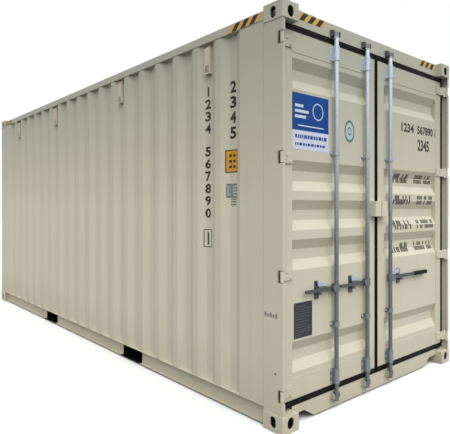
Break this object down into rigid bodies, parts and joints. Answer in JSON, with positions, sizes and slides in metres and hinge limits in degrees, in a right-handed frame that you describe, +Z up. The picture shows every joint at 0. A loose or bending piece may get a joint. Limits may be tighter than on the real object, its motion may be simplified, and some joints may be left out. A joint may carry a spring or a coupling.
{
  "type": "shipping container",
  "caption": "High-cube steel dry-cargo shipping container with corrugated walls, ribbed roof, plywood floor, forklift pockets and hinged rear doors with lock rods and lifting handles.",
  "frame": {"origin": "middle of the base, on the plane of the bottom faces of the lower corner castings", "axes": "+X along the length towards the doors, +Y across the width, +Z up"},
  "size_m": [6.058, 2.438, 2.896],
  "materials": {
    "painted_steel": "satin cream-beige marine paint",
    "gasket": "matt black extruded rubber",
    "zinc": "dull hot-dip galvanised",
    "grip": "matt black sleeve",
    "plywood": "oiled marine plywood",
    "vent": "moulded plastic, warm beige"
  },
  "bodies": {
    "root": {"lower_corner_castings": "painted_steel", "upper_corner_castings": "painted_steel", "left_rear_post": "painted_steel", "right_rear_post": "painted_steel", "left_door_jamb": "painted_steel", "right_door_jamb": "painted_steel", "hinge_lugs": "painted_steel", "front_corner_posts": "painted_steel", "left_side_wall": "painted_steel", "right_side_wall": "painted_steel", "front_wall": "painted_steel", "top_side_rails": "painted_steel", "left_bottom_rail": "painted_steel", "right_bottom_rail": "painted_steel", "front_top_rail": "painted_steel", "front_bottom_rail": "painted_steel", "door_header": "painted_steel", "door_sill": "painted_steel", "roof_panel": "painted_steel", "roof_corner_plates": "painted_steel", "floor_boards": "plywood", "cross_members": "painted_steel", "forklift_pockets": "painted_steel", "ventilators": "vent", "cam_keepers": "zinc"},
    "left_door": {"left_door_frame": "painted_steel", "left_door_panel": "painted_steel", "left_door_gasket": "gasket", "left_hinge_blades": "painted_steel", "left_lock_box": "painted_steel", "left_rod_brackets": "zinc", "left_handle_retainers": "zinc"},
    "right_door": {"right_door_frame": "painted_steel", "right_door_panel": "painted_steel", "right_door_gasket": "gasket", "right_hinge_blades": "painted_steel", "right_lock_box": "painted_steel", "right_rod_brackets": "zinc", "right_handle_retainers": "zinc"},
    "rod_1": {"lock_rod_1": "zinc"},
    "rod_2": {"lock_rod_2": "zinc"},
    "rod_3": {"lock_rod_3": "zinc"},
    "handle_1": {"lock_handle_1": "zinc"},
    "handle_2": {"lock_handle_2": "zinc"},
    "handle_3": {"lock_handle_3": "zinc", "handle_grip": "grip"}
  },
  "joints": [
    {"name": "left_door_hinge", "type": "hinge", "parent": "root", "child": "left_door", "pos_m": [3.008, -1.201, 0], "axis": [0, 0, 1], "range_deg": [-260, 0]},
    {"name": "right_door_hinge", "type": "hinge", "parent": "root", "child": "right_door", "pos_m": [3.008, 1.201, 0], "axis": [0, 0, -1], "range_deg": [-260, 0]},
    {"name": "rod_1_turn", "type": "hinge", "parent": "left_door", "child": "rod_1", "pos_m": [2.998, -0.585, 0], "axis": [0, 0, 1], "range_deg": [0, 100]},
    {"name": "handle_1_lift", "type": "hinge", "parent": "rod_1", "child": "handle_1", "pos_m": [2.998, -0.627, 0.916], "axis": [-1, 0, 0], "range_deg": [0, 15]},
    {"name": "rod_2_turn", "type": "hinge", "parent": "left_door", "child": "rod_2", "pos_m": [2.998, -0.172, 0], "axis": [0, 0, 1], "range_deg": [0, 100]},
    {"name": "handle_2_lift", "type": "hinge", "parent": "rod_2", "child": "handle_2", "pos_m": [2.998, -0.214, 0.916], "axis": [-1, 0, 0], "range_deg": [0, 15]},
    {"name": "rod_3_turn", "type": "hinge", "parent": "right_door", "child": "rod_3", "pos_m": [2.998, 0.178, 0], "axis": [0, 0, -1], "range_deg": [0, 100]},
    {"name": "handle_3_lift", "type": "hinge", "parent": "rod_3", "child": "handle_3", "pos_m": [2.998, 0.22, 0.916], "axis": [1, 0, 0], "range_deg": [0, 15]}
  ]
}
